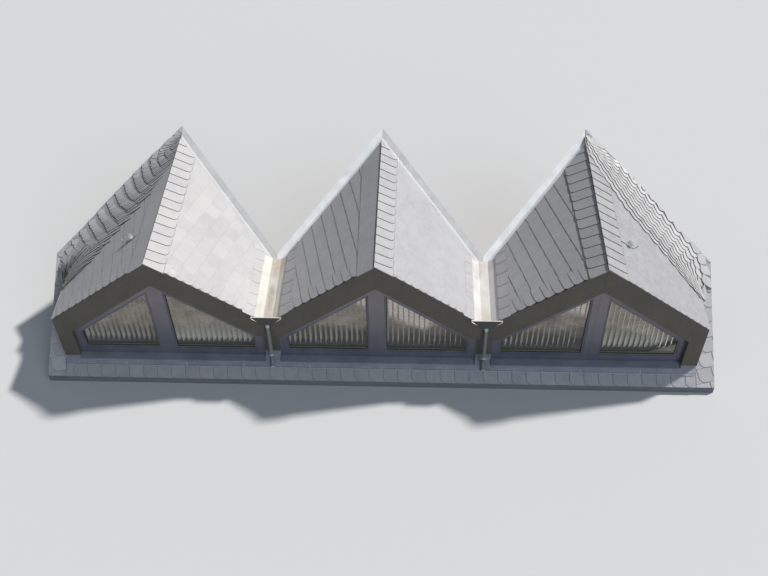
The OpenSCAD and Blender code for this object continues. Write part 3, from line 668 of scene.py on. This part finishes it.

# Each slope's slates: a tone that paints in the sheen the slope catches (painted sheen), how far
# it varies, and how dark the course lines are painted, their cut edges with painted shade
slope_tones_and_painted_sheen = {"left_outer": (-1, -1, 0.47, 0.05, 0.03), "left_inner": (-1, 1, 0.86, 0.20, 0.24),
           "middle_left": (0, -1, 0.32, 0.08, 0.16), "middle_right": (0, 1, 0.45, 0.05, 0.04),
           "right_inner": (1, -1, 0.42, 0.08, 0.50), "right_outer": (1, 1, -0.02, 0.04, 0.03)}
for name, (gable, side, tone_with_painted_sheen, varied, lines) in slope_tones_and_painted_sheen.items():
    outer = gable * side > 0
    right, up, out = slope_frame(side)
    eave = outer_edge if outer else inner_edge
    gap = 0.0 if outer else 0.068
    foot = eave if outer else eave - 0.15

    def slope_point(y, down, above=0.0):
        """A point by its y, its distance down from the ridge and its height over the boards."""
        return Vector((gable * gable_spacing, y, deck_height)) - up * down + out * above

    low_end, high_end = (slope_point(valley_at(d, gap), d) for d in (1.2, 0.1))
    beside_valley = (low_end, (high_end - low_end).cross(out) * side)
    verge_cut = (slope_point(verge_y, 0), (0, -1, 0))

    # The field: its free side edges face the valley, so that only the course lines show
    step = 0.0040 if outer else 0.0065
    blank = slate_blank("field_slate", slate_wide + 0.07, course_high + 0.09, 0.018, side > 0,
                        dark=lines, side_edge_shade=lines * 0.2, worn=0.0045)
    rise = -side * course_rise
    along = right * math.cos(rise) + up * math.sin(rise)
    across = up * math.cos(rise) - right * math.sin(rise)
    start = slope_point(1.092 if gable == 0 else 1.151, 1.564 if gable == 0 else 1.616)
    field = []
    for row in range(-12, 14):
        shift = chance.uniform(0, slate_wide)
        for column in range(-14, 14):
            low = start + across * (row * course_high) + along * (column * slate_wide + shift)
            centre = low + across * 0.14 + along * 0.14 - slope_point(0, 0)
            y, down = centre.y, -centre.dot(up)
            if -0.3 < y < valley_at(down, gap) + 0.3 and 0.0 < down < eave + 0.25:
                field.append(lay_slate(blank, low + out * (step + chance.uniform(-0.0004, 0.0004)),
                                       along, across, step / 0.29 * 1.25, -side * 0.012,
                                       varied, tone_with_painted_sheen))
    field = joined(name + "_field", field, blank)
    cut_off(field, (slope_point(verge_y + 0.06, 0), (0, -1, 0)),
            (slope_point(0, 0.18), up), (slope_point(0, foot + 0.01), -up),
            beside_valley)

    # Verge slates over the band, their rounded corners make a saw tooth edge
    tooth = 0.1425 if side < 0 else 0.122
    blank = slate_blank("verge_slate", 0.30, tooth + 0.09, 0.085, side < 0,
                        dark=0.25 if outer else 0.90 if side < 0 else 0.60, foot_fade=0.1)
    verge, down, tucked = [], 0.22, 0.022 if outer else 0.012
    while down < eave + 0.08:
        low = slope_point(verge_y, down, 0.0085)
        if side < 0:
            low = low - along * 0.30 - out * 0.30 * tucked
        verge.append(lay_slate(blank, low + out * chance.uniform(0, 0.0006), along, across, 0.038,
                               side * tucked, varied * 0.7, tone_with_painted_sheen))
        down += tooth * chance.uniform(0.96, 1.04)
    verge = joined(name + "_verge", verge, blank)
    cut_off(verge, (slope_point(0, eave), -up), (slope_point(0, 0.18), up),
            verge_cut, beside_valley)
    parts = [field, verge]

    # Foot slates beside a trough
    if not outer:
        blank = slate_blank("foot_slate", 0.30, 0.19, 0.055, side < 0, dark=0.9 if side < 0
                            else 0.65 if gable == -1 else 0.2)
        feet = []
        for y in (-0.142, 0.050, 0.256, 0.48, 0.71, 0.93, 1.12):
            low = slope_point(y, eave + 0.004, 0.0080)
            if side < 0:
                low = low - right * 0.30
            feet.append(lay_slate(blank, low, right, up, 0.010, side * 0.018, varied + 0.03,
                                  tone_with_painted_sheen))
        feet = joined(name + "_foot", feet, blank)
        cut_off(feet, (slope_point(0, eave), -up), verge_cut, beside_valley)
        parts.append(feet)

    # Ridge strip: on the right sides its free edges face the front and stand past the ridge, and
    # so they do on the right gable's left side; the other two strips are turned to the back
    over = {-1: 0.016, 0: 0.020, 1: 0.034}[gable] if side > 0 else 0.0
    to_front = side > 0 or gable == 1
    if side > 0:
        sizes = (0.33, 0.171, 0.10, 0.020) if outer else (0.285, 0.173, 0.16, 0.072)
    else:
        sizes = (0.29, 0.194, 0.20, 0.060) if to_front else (0.34, 0.30, 0, 0.02)
    reach, step, skew, corner = sizes
    thick, lift, opened, foot_fade = ((0.009, 0.0125, 0.050, 0.0) if side > 0
                                      else (0.006, 0.0085, 0.030, 0.4))
    if to_front:
        free_edges, differ, brighter = (0.98, 0.98), 0.12, 0.08
    else:
        opened, free_edges, differ, brighter = -0.006, (lines, 0.05), 0.04, 0.0
    flare = 0.047 if gable == 1 and side < 0 else 0.0
    along_ridge = (right + up * flare).normalized()
    blank = slate_blank("ridge_slate", step + 0.10, reach + over + 0.17, corner,
                        (side < 0) == to_front, thick, *free_edges, foot_fade, thick)
    strip, y = [], verge_y - 0.20
    while y < valley_at(0.05, gap) + 0.4:
        low = slope_point(y, reach + flare * y, lift)
        if side < 0:
            low = low - along_ridge * (step + 0.10)
        strip.append(lay_slate(blank, low, along_ridge, up - Vector((0, skew, 0)), 0.004,
                               side * opened, differ, tone_with_painted_sheen + brighter))
        y += step * chance.uniform(0.97, 1.03)
    strip = joined(name + "_ridge", strip, blank)
    cut_off(strip, verge_cut, beside_valley, (slope_point(0, -over), up))
    if not to_front:
        lower_edge = slope_point(0, 0.290)
        cut_off(strip, (lower_edge, out.cross(slope_point(1.9, 0.335) - lower_edge) * -side))
    parts.append(strip)
    given(joined(name + "_slate_courses", parts), slate_colour, "slate", name + "_slates")

# Swept valleys: the slopes at the dormer's ends run round into the roof strips in hollow courses
# of narrow slates, which cross the valley and fan out towards its lower end.
sweep_in, sweep_out, sweep_eave = 0.410, 0.195, 1.519
sweep_steep = math.hypot(tan_slope, tan_roof)
sweep_eave_height = ridge_height - tan_slope * sweep_eave
sweep_low = (sweep_eave_height - 0.93 * sweep_in * sweep_steep - slates_above) / tan_roof
sweep_high = (ridge_height - slates_above - 0.012) / tan_roof


def looked_up(place, *stops):
    for (a, low), (b, high) in zip(stops, stops[1:]):
        if place <= b:
            return low + (high - low) * max(place - a, 0) / (b - a)
    return stops[-1][1]


def sweep_point(side, row, part):
    """The hollow bed: row runs from its lower end, 0, to the ridge, 1; part from the dormer's
    slope, 0, over the eave line, 1, to the roof strip, 2."""
    y = sweep_low + row * (sweep_high - sweep_low)
    top = y * tan_roof + slates_above
    inner = sweep_in * sweep_steep * looked_up(
        row, (0, 1), (0.15, 1), (0.46, 1.15), (0.8, 0.7), (1, 0.3))
    outer = sweep_out * sweep_steep * looked_up(
        row, (0, 0.2), (0.22, 0.45), (0.35, 1), (0.85, 1), (1, 0.1))
    first, split = min(inner, ridge_height - top), max(sweep_eave_height - top, -outer / 2)
    rise = first + (split - first) * part if part <= 1 else split - (outer + split) * (part - 1)
    hollow = (outer + rise) / (outer + math.sqrt(outer ** 2 + (inner - outer) * (outer + rise)))
    if top + rise >= sweep_eave_height:
        reach = (ridge_height - top - rise) / tan_slope
    else:
        reach = sweep_eave + (sweep_eave_height - top - rise) / looked_up(
            row, (0, 7), (0.06, 5), (0.12, 2), (0.18, 1), (0.22, tan_slope))
    return Vector((side * (gable_spacing + reach), y, top + inner * hollow ** 2))


def course_climb(part):
    """How far a course has climbed along the valley, from the dormer's slope to the roof strip."""
    return 0.135 * looked_up(part, (0, -1), (1, 0.7), (2, 1))


def course_point(side, row, part):
    """A point on a course, which crosses the hollow and climbs from the slope to the roof strip."""
    return sweep_point(side, min(max(row + course_climb(part), 0), 1), part)


def strip_edges(side):
    """Planes along the outer edges of the roof strip beside a swept valley."""
    widened = math.sqrt(1 + (tan_slope / tan_roof) ** 2)
    low = (deck_height - tan_slope * 1.76 - boards_above) / tan_roof + 0.250 * widened
    high = (deck_height - boards_above) / tan_roof + 0.085 * widened
    outward = Vector((side * 1.76, low - high, 0)).cross(Vector((0, 0, 1))) * -side
    return [(Vector((side * 4.76, 0, 0)), (side, 0, 0)), (Vector((side * 4.76, low, 0)), outward)]


sweep_run = [0.0]
for i in range(48):
    sweep_run.append(sweep_run[-1] + (sweep_point(1, 0.5, (i + 1) / 24)
                                      - sweep_point(1, 0.5, i / 24)).length)

for side, name, columns in ((-1, "left", 12), (1, "right", 10)):
    # Where the slates of a course begin, a little wider on the dormer's side
    shares = []
    for column in range(columns + 1):
        goal = sweep_run[-1] * (column / columns) ** 0.85
        at = max(i for i in range(48) if sweep_run[i] <= goal + 1e-9)
        shares.append((at + (goal - sweep_run[at]) / (sweep_run[at + 1] - sweep_run[at])) / 24)

    # A thin bed under the slates, kept back from the edge on the dormer's slope; it is toned dark
    # as painted shade in the gaps between the slates
    bpy.ops.object.select_all(action="DESELECT")
    bpy.ops.mesh.primitive_grid_add(x_subdivisions=14, y_subdivisions=34, size=1)
    bed = bpy.context.object
    for point in bed.data.vertices:
        point.co = sweep_point(side, point.co.y + 0.5, 0.26 + (point.co.x + 0.5) * 1.71)
    bpy.ops.object.mode_set(mode="EDIT")
    bpy.ops.mesh.select_all(action="SELECT")
    if side < 0:
        bpy.ops.mesh.flip_normals()
    bpy.ops.object.mode_set(mode="OBJECT")
    thicken = bed.modifiers.new("thicken", "SOLIDIFY")
    thicken.thickness, thicken.offset = 0.003, 1.0
    bpy.ops.object.modifier_apply(modifier=thicken.name)
    for mark, value in (("tone", 0.2), ("edge", 0.25)):
        bed.data.attributes.new(mark, "FLOAT", "POINT").data.foreach_set(
            "value", [value] * len(bed.data.vertices))

    # A course shows narrow of each slate, and the neighbour covers the rest of its width
    narrow, courses, tilt = 0.070, 17, 0.0065
    slate_width = narrow * 1.45
    if side < 0:
        blank = slate_blank("swept_slate", slate_width, 0.25, 0.026, True, dark=0.95,
                            side_edge_shade=0.85, foot_fade=0.95, worn=0.0065)
    else:
        blank = slate_blank("swept_slate", slate_width, 0.27, 0.066, False, dark=0.90,
                            side_edge_shade=0.95, foot_fade=0.0)
    laid = []
    for course in range(-3, courses + 4):
        row = course / courses
        for column, (part, next_part) in enumerate(zip(shares, shares[1:])):
            if not -0.005 < row + course_climb(part) < 0.97:
                continue
            free, covered = course_point(side, row, part), course_point(side, row, next_part)
            above = (course_point(side, row + 1 / courses, part)
                     + course_point(side, row + 1 / courses, next_part)) / 2
            if (covered - free).length < 0.016 or (above - (free + covered) / 2).length < 0.04:
                continue
            roofward = (covered - free).normalized()
            up = (above - (free + covered) / 2).normalized()
            free = free + up * chance.uniform(-0.008, 0.008)
            up = (up + roofward * (0.40 if side > 0 else -0.62)).normalized()
            across = roofward if side > 0 else -roofward
            across = (across - up * across.dot(up)).normalized()
            normal = across.cross(up)
            corner = free + normal * (0.0105 - 0.005 * max(2 - column, 0))
            wide = (covered - free).length / narrow
            if side < 0:
                corner = corner - across * slate_width * wide - normal * tilt * 1.45
            # Left valley slates toned dark as painted shade, right valley slates pale as painted
            # light
            laid.append(lay_slate(blank, corner, across, up, 0.036, side * tilt / narrow / wide,
                                  0.24, 0.16 if side < 0 else 0.88, wide))
    swept = joined(name + "_swept_slates", [bed] + laid, blank)
    cut_off(swept, (Vector((side * (gable_spacing + 0.002), 0, 0)), (-side, 0, 0)),
            *strip_edges(side))
    given(swept, slate_colour, "slate", name + "_swept_valley")

# Roof strips: slates beside the cheeks, with a narrow open gutter along each cheek, and the course
# in front of the sills on its straight starter course; their rounded corners face left.
roof_right, roof_up = Vector((1, 0, 0)), Vector((0, cos_roof, sin_roof))
roof_out = roof_right.cross(roof_up)
front_foot = -0.3453


def roof_point(x, y, above=0.0):
    return Vector((x, y, y * tan_roof + boards_above)) + roof_out * above


blank = slate_blank("roof_slate", 0.27, 0.31, 0.09, False, 0.007, side_edge_shade=0.45)
strip_step, cheek_x = 0.205, gable_spacing + half_spacing
climb = math.radians(14)
along = roof_right * math.cos(climb) + roof_up * math.sin(climb)
across = roof_up * math.cos(climb) - roof_right * math.sin(climb)
sides = []
for side in (-1, 1):
    for beside_cheek in (True, False):
        slates = []
        for row in range(-10, 24):
            for column in range(-16, 16):
                low = (roof_point(side * 4.63, 0.4, 0.0070) + across * (row * strip_step)
                       + along * (column * strip_step + (row % 3) * 0.07))
                x, y = abs((low + along * 0.13 + across * 0.15).x), (low + across * 0.15).y
                line = (deck_height - tan_slope * (x - gable_spacing) - boards_above) / tan_roof
                if beside_cheek:
                    near = 4.3 < x < 4.95 and front_foot - 0.3 < y < line + 0.7
                else:
                    near = 2.8 < x < 4.8 and line - 0.3 < y < line + 0.7
                if near:
                    slates.append(lay_slate(blank, low, along, across, 0.026, 0.022, 0.28,
                                            0.46 if side < 0 else 0.50))
        strip = joined("side_strip", slates)
        cuts = [(roof_point(0, front_foot), (0, -1, 0)), *strip_edges(side)]
        if beside_cheek:
            cuts.append((roof_point(side * (cheek_x + 0.008), 0), (-side, 0, 0)))
        else:
            cuts.append((roof_point(side * cheek_x, 0), (side, 0, 0)))
            ridge_end = Vector((side * gable_spacing, (deck_height - boards_above) / tan_roof, 0))
            down_valley = Vector((side, -tan_slope / tan_roof, 0))
            cuts.append((ridge_end, down_valley.cross(Vector((0, 0, 1))) * side))
            cuts.append((ridge_end, (-side, 0, 0)))
        cut_off(strip, *cuts)
        sides.append(strip)
given(joined("side_slate_courses", sides, blank), slate_colour, "slate", "side_slates")

blank = slate_blank("front_slate", 0.263, 0.235, 0.085, False, 0.007)
starter = slate_blank("starter_slate", 0.201, 0.18, 0.004, False, dark=0.6)
front_step = 0.2035
course, x = [], -4.60
while x < cheek_x:
    course.append(lay_slate(blank, roof_point(x, front_foot, 0.0120), roof_right, roof_up, 0.036,
                            0.024, 0.14, 0.08))
    course.append(lay_slate(starter, roof_point(x + 0.11, front_foot, 0.0003), roof_right, roof_up,
                            0.0, 0.0, 0.10, 0.05))
    x += front_step
course = joined("front_slate_course", course, blank, starter)
cut_off(course, (roof_point(-cheek_x, 0), (-1, 0, 0)), (roof_point(cheek_x, 0), (1, 0, 0)))
given(course, slate_colour, "slate", "front_slates")

# Zinc: valleys and troughs are folded from weathered sheet, soldered where they meet; rain has
# left warm stains on the troughs' floors.


def zinc_finish(name, colour, stain_spots=(), rough=0.42, shaded_end_plate_y=None):
    made, tree, shader = finish_of(name, rough, 0.12)
    where = object_place(tree)
    cloud = noise(tree, where, 5.0, 5.0, 0.6)
    runs = noise(tree, object_place(tree, (34, 5, 5)), 1.6, 4.0)
    spangle = noise(tree, where, 90.0, 2.0, 0.5)
    body = mix_colour(tree, spread(tree, cloud, 0.0, 1.0), shaded(colour, 0.90),
                      tuple(min(c, 0.80) for c in shaded(colour, 1.06)))
    body = mix_colour(tree, spread(tree, runs, 0.0, 0.35, 0.5, 0.75), body, shaded(colour, 0.80))
    for centre, size, tint, strength in stain_spots:
        spot = shader_node(tree, "TexGradient", {"Vector": object_place(
            tree, tuple(1 / s for s in size), move=tuple(-c / s for c, s in zip(centre, size)))},
            gradient_type="SPHERICAL").outputs["Fac"]
        worn = combined(tree, spread(tree, spot, 0.0, 1.0, 0.0, 0.45),
                        spread(tree, noise(tree, where, 17.0, 5.0, 0.7), 0.15, 1.0), "MULTIPLY")
        body = mix_colour(tree, combined(tree, worn, strength, "MULTIPLY"), body, tint)
    # The end plates at the front are painted dark: painted shade on the plates that face the front
    if shaded_end_plate_y is not None:
        place = shader_node(tree, "SeparateXYZ", {"Vector": where})
        body = mix_colour(tree, spread(tree, place.outputs["Y"], 1.0, 0.0, shaded_end_plate_y,
                                       shaded_end_plate_y + 0.0003), body, (0.065, 0.065, 0.062))
    surfaced(tree, shader, body, spread(tree, cloud, rough - 0.08, rough + 0.14),
             combined(tree, cloud, spangle), 0.10, 0.0015)
    return made


zinc = zinc_finish("weathered_zinc_with_painted_light", (0.64, 0.645, 0.645))
tree = zinc.node_tree
base = tree.nodes["Principled BSDF"].inputs["Base Color"]
place = shader_node(tree, "SeparateXYZ", {"Vector": object_place(tree)}).outputs
# Painted light on the valley sheets: beside slopes that face left, away from the key light, the
# zinc is painted much lighter; beside slopes that face right, its part on the slope is painted
# darker and its part on the roof a little lighter.
valley_facing_phase = shader_node(tree, "Math", {
    0: combined(tree, combined(tree, place["X"], gable_spacing, "DIVIDE"), 0.5)},
    operation="FRACT").outputs[0]
over_roof = combined(tree, place["Z"], combined(tree, place["Y"], tan_roof, "MULTIPLY"), "SUBTRACT")
lit_valley_shading = mix_colour(tree, combined(tree, over_roof, boards_above + 0.010, "GREATER_THAN"),
                   (1.04, 1.02, 1.00), (0.79, 0.78, 0.77))
painted_valley_light = mix_colour(tree, combined(tree, valley_facing_phase, 0.5, "LESS_THAN"), lit_valley_shading, (1.44, 1.44, 1.44))
tree.links.new(mix_colour(tree, 1.0, base.links[0].from_socket, painted_valley_light, "MULTIPLY"), base)
dress(zinc, "valley_sheets")
dress(zinc_finish("left_trough_zinc", (0.68, 0.655, 0.595), (
    ((-1.46, 0.98, 0.92), (0.13, 0.30, 0.3), (0.50, 0.33, 0.20), 0.65),
    ((-1.50, 0.34, 0.89), (0.06, 0.28, 0.3), (0.26, 0.22, 0.15), 0.60),
    ((-1.50, 0.02, 0.89), (0.07, 0.30, 0.3), (0.52, 0.38, 0.26), 0.70)), shaded_end_plate_y=-0.1906),
      "left_trough")
dress(zinc_finish("right_trough_zinc", (0.715, 0.70, 0.67), (
    ((1.40, 0.92, 0.97), (0.09, 0.36, 0.3), (0.46, 0.44, 0.42), 0.80),
    ((1.55, 1.02, 0.95), (0.14, 0.26, 0.3), (0.62, 0.44, 0.38), 0.50),
    ((1.50, 0.00, 0.89), (0.08, 0.26, 0.3), (0.66, 0.56, 0.36), 0.55)), shaded_end_plate_y=-0.1906),
      "right_trough")

seams = []
for gable, side, u in ((0, -1, 1.365), (1, -1, 1.350), (-1, 1, 0.62), (0, 1, 0.70), (0, -1, 0.55),
                       (1, -1, 0.66)):
    y = (deck_height - tan_slope * u - boards_above) / tan_roof
    valley_point = Vector((gable * gable_spacing + side * u, y, deck_height - tan_slope * u))
    line = Vector((side, -tan_slope / tan_roof, -tan_slope)).normalized()
    slope_out = Vector((side * sin_slope, 0, cos_slope))
    onto_slope = slope_out.cross(line).normalized() * side
    onto_roof = line.cross(roof_out).normalized() * side
    seams.append(bar_between("seam", valley_point - onto_slope * 0.002,
                             valley_point + onto_slope * 0.066, slope_out, 0.012, 0.0045, 0.0015))
    seams.append(bar_between("seam", valley_point - onto_roof * 0.002,
                             valley_point + onto_roof * 0.084, roof_out, 0.012, 0.0045, 0.0015))
given(joined("valley_seams", seams), zinc, "zinc")

# Apron: a painted sheet on the front course, turned up behind the sills, lapped every metre and
# held by small cleats at its lower edge.
apron_paint = paint_finish("apron_sheet", (0.280, 0.285, 0.330), 0.45, 0.20, (0.50, 0.50, 0.50),
                           0.20)
tree = apron_paint.node_tree
base = tree.nodes["Principled BSDF"].inputs["Base Color"]
scratched = noise(tree, object_place(tree, (1.6, 70, 70)), 3.0, 4.0, 0.7)
tree.links.new(mix_colour(tree, spread(tree, scratched, 0.0, 0.75, 0.60, 0.68),
                          base.links[0].from_socket, (0.78, 0.78, 0.77)), base)
dress(apron_paint, "front_apron")
apron_foot = -0.2004
apron_rise = slate_layer + 0.006
laps = [bar_between("fold", roof_point(-4.49, apron_foot + 0.004, apron_rise),
                    roof_point(4.49, apron_foot + 0.004, apron_rise), roof_out, 0.010, 0.0025)]
for x in (-3.62, -2.75, -1.92, -0.98, 0.05, 0.98, 1.95, 2.88, 3.72):
    laps.append(bar_between("lap", roof_point(x, apron_foot + 0.002, apron_rise),
                            roof_point(x, -0.152, apron_rise), roof_out, 0.014, 0.0030, 0.001))
edge_metal = zinc_finish("bright_edge", (0.50, 0.51, 0.53))
given(joined("apron_laps", laps), edge_metal, "apron_sheet")

# Downpipes: short zinc pipes from the troughs' outlets to shoes above the apron, with a soldered
# socket at each end and a bracket with a winged screw. The sockets, wings and a lip at each shoe's
# mouth are pale zinc: partly their own brighter zinc, partly painted highlight.
pipe_zinc = zinc_finish("pipe_zinc", (0.25, 0.28, 0.255), (), 0.40)
bright_zinc_and_highlight = zinc_finish("bright_zinc_and_highlight", (0.66, 0.68, 0.70), (), 0.34)
dress(pipe_zinc, "downpipes")
dress(zinc_finish("bracket_zinc", (0.20, 0.22, 0.20), (), 0.45), "pipe_brackets")
pipe_y, trough_floor_height = -0.156, deck_height - tan_slope * (half_spacing - 0.065)
wing_height = 0.174


def ring(radius, length, wall, **place):
    """An open ring: a cylinder whose ends are inset by its wall and bridged."""
    made = primitive("cylinder", "ring", vertices=32, radius=radius, depth=length, **place)
    bpy.ops.object.mode_set(mode="EDIT")
    pick(made, "FACE", lambda face: abs(face.normal.z) > 0.9)
    bpy.ops.mesh.inset(thickness=wall, depth=0.0)
    bpy.ops.mesh.bridge_edge_loops()
    bpy.ops.object.mode_set(mode="OBJECT")
    return made


sockets = []
for side in (-1, 1):
    x = side * half_spacing
    for low, high in ((trough_floor_height - 0.085, trough_floor_height - 0.013), (0.196, 0.236)):
        sockets.append(ring(0.0292, high - low, 0.0024, location=(x, pipe_y, (low + high) / 2)))
    for reach in (-1, 1):
        sockets.append(bar_between("wing", (x + reach * 0.028, pipe_y, wing_height),
                                   (x + reach * 0.052, pipe_y, wing_height), (0, 0, 1), 0.014,
                                   0.005, 0.0012))
    # A lip at the shoe's mouth in pale zinc, a painted highlight
    lip = ring(0.0295, 0.012, 0.0045)
    lip.data.transform(Matrix.Translation((x, -0.2215, 0.0129))
                       @ Matrix.Rotation(math.pi / 2 + roof_pitch, 4, "X"))
    sockets.append(lip)
given(joined("pipe_sockets", sockets), bright_zinc_and_highlight, "pipe_zinc")

# Roof hooks: galvanized straps on the outer slopes for a roof ladder, bolted through the slates.
# Each carries a plate with two ears that are joined by pins.
galvanized = zinc_finish("galvanized_steel", (0.70, 0.71, 0.72), (), 0.35)
hook_grey = zinc_finish("dull_steel", (0.40, 0.40, 0.41), (), 0.50)
for side, name in ((-1, "left"), (1, "right")):
    right, up, out = slope_frame(side)
    strap = Vector((side * (gable_spacing + 0.380), 0.630, ridge_height - tan_slope * 0.380))
    straps = [bar_between("strap", strap + up * 0.128, strap - up * 0.124, out, 0.018, 0.003),
              bar_between("upturn", strap - up * 0.122, strap - up * 0.126 + out * 0.070, up, 0.012,
                          0.004, 0.0012)]
    given(joined(name + "_hook_strap", straps), hook_grey, "hook_steel")
    parts = [bar_between("plate", strap + up * 0.030, strap - up * 0.055, out, 0.050, 0.005,
                         0.0015)]
    for shift in (-0.022, 0.022):
        ear = strap + right * shift + out * 0.004
        parts.append(bar_between("ear", ear + up * 0.020, ear - up * 0.045, out, 0.006, 0.060,
                                 0.0015))
    for shift, raised in ((-0.030, 0.034), (0.014, 0.018)):
        pin = eased(primitive("cylinder", "pin", vertices=12, radius=0.005, depth=0.060), 0.001)
        pin.data.transform(place_by(strap + up * shift + out * raised, up, out, right))
        parts.append(pin)
    hook = given(joined(name + "_roof_hook", parts), galvanized, "hook_steel")
    if side < 0:
        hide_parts("roof_hooks")
